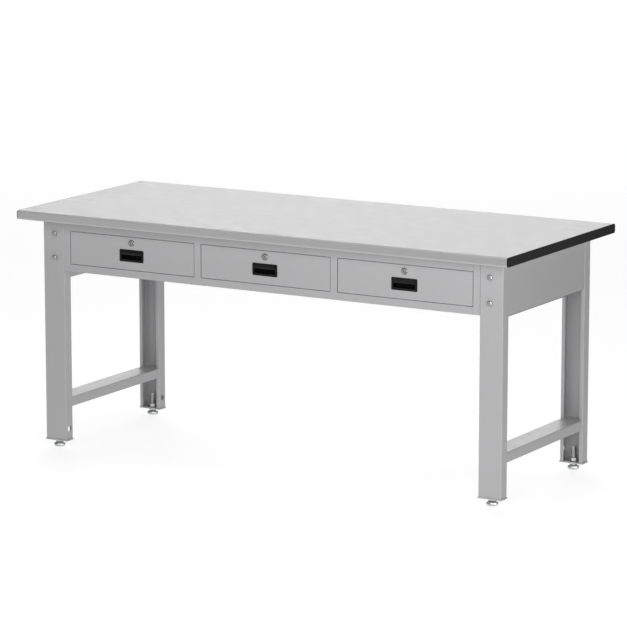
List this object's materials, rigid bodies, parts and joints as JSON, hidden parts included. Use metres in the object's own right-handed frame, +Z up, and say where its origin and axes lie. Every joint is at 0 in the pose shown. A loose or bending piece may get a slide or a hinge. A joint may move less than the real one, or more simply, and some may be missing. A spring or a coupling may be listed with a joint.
{
  "type": "workbench with drawers",
  "caption": "Steel-framed workbench with a laminate top, a full-width case of lockable drawers under it, channel legs and levelling feet.",
  "frame": {"origin": "on the floor, under the middle of the worktop", "axes": "+X along the bench to the right, +Y to the back, +Z up; the drawers face -Y"},
  "size_m": [1.8, 0.75, 0.796],
  "materials": {
    "board": "raw particle board",
    "laminate": "light grey textured laminate",
    "black_edging": "black edge band",
    "grey_powder_coat": "fine-texture light grey powder coat",
    "zinc_plated": "bright zinc plating",
    "black_plastic": "black moulded plastic",
    "nickel": "satin nickel plating"
  },
  "bodies": {
    "bench": {"tabletop_core": "board", "tabletop_laminate": "laminate", "edge_band_left": "black_edging", "edge_band_right": "black_edging", "tabletop_screws": "zinc_plated", "leg_front_left": "grey_powder_coat", "leg_back_left": "grey_powder_coat", "leg_front_right": "grey_powder_coat", "leg_back_right": "grey_powder_coat", "leg_base_plates": "grey_powder_coat", "foot_nuts": "zinc_plated", "end_panel_left": "grey_powder_coat", "end_panel_right": "grey_powder_coat", "stretcher_left": "grey_powder_coat", "stretcher_right": "grey_powder_coat", "case_bearer_left": "grey_powder_coat", "case_bearer_right": "grey_powder_coat", "leg_bolts": "zinc_plated", "leg_nuts": "zinc_plated", "case_top_rail": "grey_powder_coat", "case_bottom_rail": "grey_powder_coat", "case_bottom": "grey_powder_coat", "case_back": "grey_powder_coat", "case_divider_left": "grey_powder_coat", "case_divider_right": "grey_powder_coat", "case_side_left": "grey_powder_coat", "case_side_right": "grey_powder_coat", "slide_outer_members": "zinc_plated"},
    "drawer_left": {"drawer_box_left": "grey_powder_coat", "drawer_front_left": "grey_powder_coat", "drawer_handle_left": "black_plastic", "lock_barrel_left": "nickel", "slide_inner_left": "zinc_plated"},
    "slide_carriers_left": {"slide_middle_left": "zinc_plated"},
    "lock_left": {"lock_plug_left": "nickel", "lock_cam_left": "nickel"},
    "drawer_middle": {"drawer_box_middle": "grey_powder_coat", "drawer_front_middle": "grey_powder_coat", "drawer_handle_middle": "black_plastic", "lock_barrel_middle": "nickel", "slide_inner_middle": "zinc_plated"},
    "slide_carriers_middle": {"slide_middle_middle": "zinc_plated"},
    "lock_middle": {"lock_plug_middle": "nickel", "lock_cam_middle": "nickel"},
    "drawer_right": {"drawer_box_right": "grey_powder_coat", "drawer_front_right": "grey_powder_coat", "drawer_handle_right": "black_plastic", "lock_barrel_right": "nickel", "slide_inner_right": "zinc_plated"},
    "slide_carriers_right": {"slide_middle_right": "zinc_plated"},
    "lock_right": {"lock_plug_right": "nickel", "lock_cam_right": "nickel"},
    "foot_pad_front_left": {"foot_pad_front_left": "zinc_plated"},
    "foot_stud_front_left": {"foot_stud_front_left": "zinc_plated"},
    "foot_pad_back_left": {"foot_pad_back_left": "zinc_plated"},
    "foot_stud_back_left": {"foot_stud_back_left": "zinc_plated"},
    "foot_pad_front_right": {"foot_pad_front_right": "zinc_plated"},
    "foot_stud_front_right": {"foot_stud_front_right": "zinc_plated"},
    "foot_pad_back_right": {"foot_pad_back_right": "zinc_plated"},
    "foot_stud_back_right": {"foot_stud_back_right": "zinc_plated"}
  },
  "joints": [
    {"name": "drawer_left_pull", "type": "slide", "parent": "bench", "child": "drawer_left", "axis": [0, -1, 0], "range_m": [0, 0.48]},
    {"name": "slide_carriers_left_run", "type": "slide", "parent": "bench", "child": "slide_carriers_left", "axis": [0, -1, 0], "range_m": [0, 0.24]},
    {"name": "lock_left_turn", "type": "hinge", "parent": "drawer_left", "child": "lock_left", "pos_m": [-0.504, -0.2975, 0.709], "axis": [0, -1, 0], "range_deg": [0, 90]},
    {"name": "drawer_middle_pull", "type": "slide", "parent": "bench", "child": "drawer_middle", "axis": [0, -1, 0], "range_m": [0, 0.48]},
    {"name": "slide_carriers_middle_run", "type": "slide", "parent": "bench", "child": "slide_carriers_middle", "axis": [0, -1, 0], "range_m": [0, 0.24]},
    {"name": "lock_middle_turn", "type": "hinge", "parent": "drawer_middle", "child": "lock_middle", "pos_m": [0, -0.2975, 0.709], "axis": [0, -1, 0], "range_deg": [0, 90]},
    {"name": "drawer_right_pull", "type": "slide", "parent": "bench", "child": "drawer_right", "axis": [0, -1, 0], "range_m": [0, 0.48]},
    {"name": "slide_carriers_right_run", "type": "slide", "parent": "bench", "child": "slide_carriers_right", "axis": [0, -1, 0], "range_m": [0, 0.24]},
    {"name": "lock_right_turn", "type": "hinge", "parent": "drawer_right", "child": "lock_right", "pos_m": [0.504, -0.2975, 0.709], "axis": [0, -1, 0], "range_deg": [0, 90]},
    {"name": "foot_front_left_lift", "type": "slide", "parent": "bench", "child": "foot_pad_front_left", "axis": [0, 0, -1], "range_m": [0, 0.02]},
    {"name": "foot_front_left_turn", "type": "hinge", "parent": "foot_pad_front_left", "child": "foot_stud_front_left", "pos_m": [-0.808, -0.2795, 0.02], "axis": [0, 0, -1], "range_deg": [0, 4120]},
    {"name": "foot_back_left_lift", "type": "slide", "parent": "bench", "child": "foot_pad_back_left", "axis": [0, 0, -1], "range_m": [0, 0.02]},
    {"name": "foot_back_left_turn", "type": "hinge", "parent": "foot_pad_back_left", "child": "foot_stud_back_left", "pos_m": [-0.808, 0.2855, 0.02], "axis": [0, 0, -1], "range_deg": [0, 4120]},
    {"name": "foot_front_right_lift", "type": "slide", "parent": "bench", "child": "foot_pad_front_right", "axis": [0, 0, -1], "range_m": [0, 0.02]},
    {"name": "foot_front_right_turn", "type": "hinge", "parent": "foot_pad_front_right", "child": "foot_stud_front_right", "pos_m": [0.808, -0.2795, 0.02], "axis": [0, 0, -1], "range_deg": [0, 4120]},
    {"name": "foot_back_right_lift", "type": "slide", "parent": "bench", "child": "foot_pad_back_right", "axis": [0, 0, -1], "range_m": [0, 0.02]},
    {"name": "foot_back_right_turn", "type": "hinge", "parent": "foot_pad_back_right", "child": "foot_stud_back_right", "pos_m": [0.808, 0.2855, 0.02], "axis": [0, 0, -1], "range_deg": [0, 4120]}
  ],
  "couplings": [
    {"joint": "slide_carriers_left_run", "follows": "drawer_left_pull", "ratio": 0.5},
    {"joint": "slide_carriers_middle_run", "follows": "drawer_middle_pull", "ratio": 0.5},
    {"joint": "slide_carriers_right_run", "follows": "drawer_right_pull", "ratio": 0.5},
    {"joint": "foot_front_left_turn", "follows": "foot_front_left_lift", "rad_per_m": 3141.6},
    {"joint": "foot_back_left_turn", "follows": "foot_back_left_lift", "rad_per_m": 3141.6},
    {"joint": "foot_front_right_turn", "follows": "foot_front_right_lift", "rad_per_m": 3141.6},
    {"joint": "foot_back_right_turn", "follows": "foot_back_right_lift", "rad_per_m": 3141.6}
  ]
}
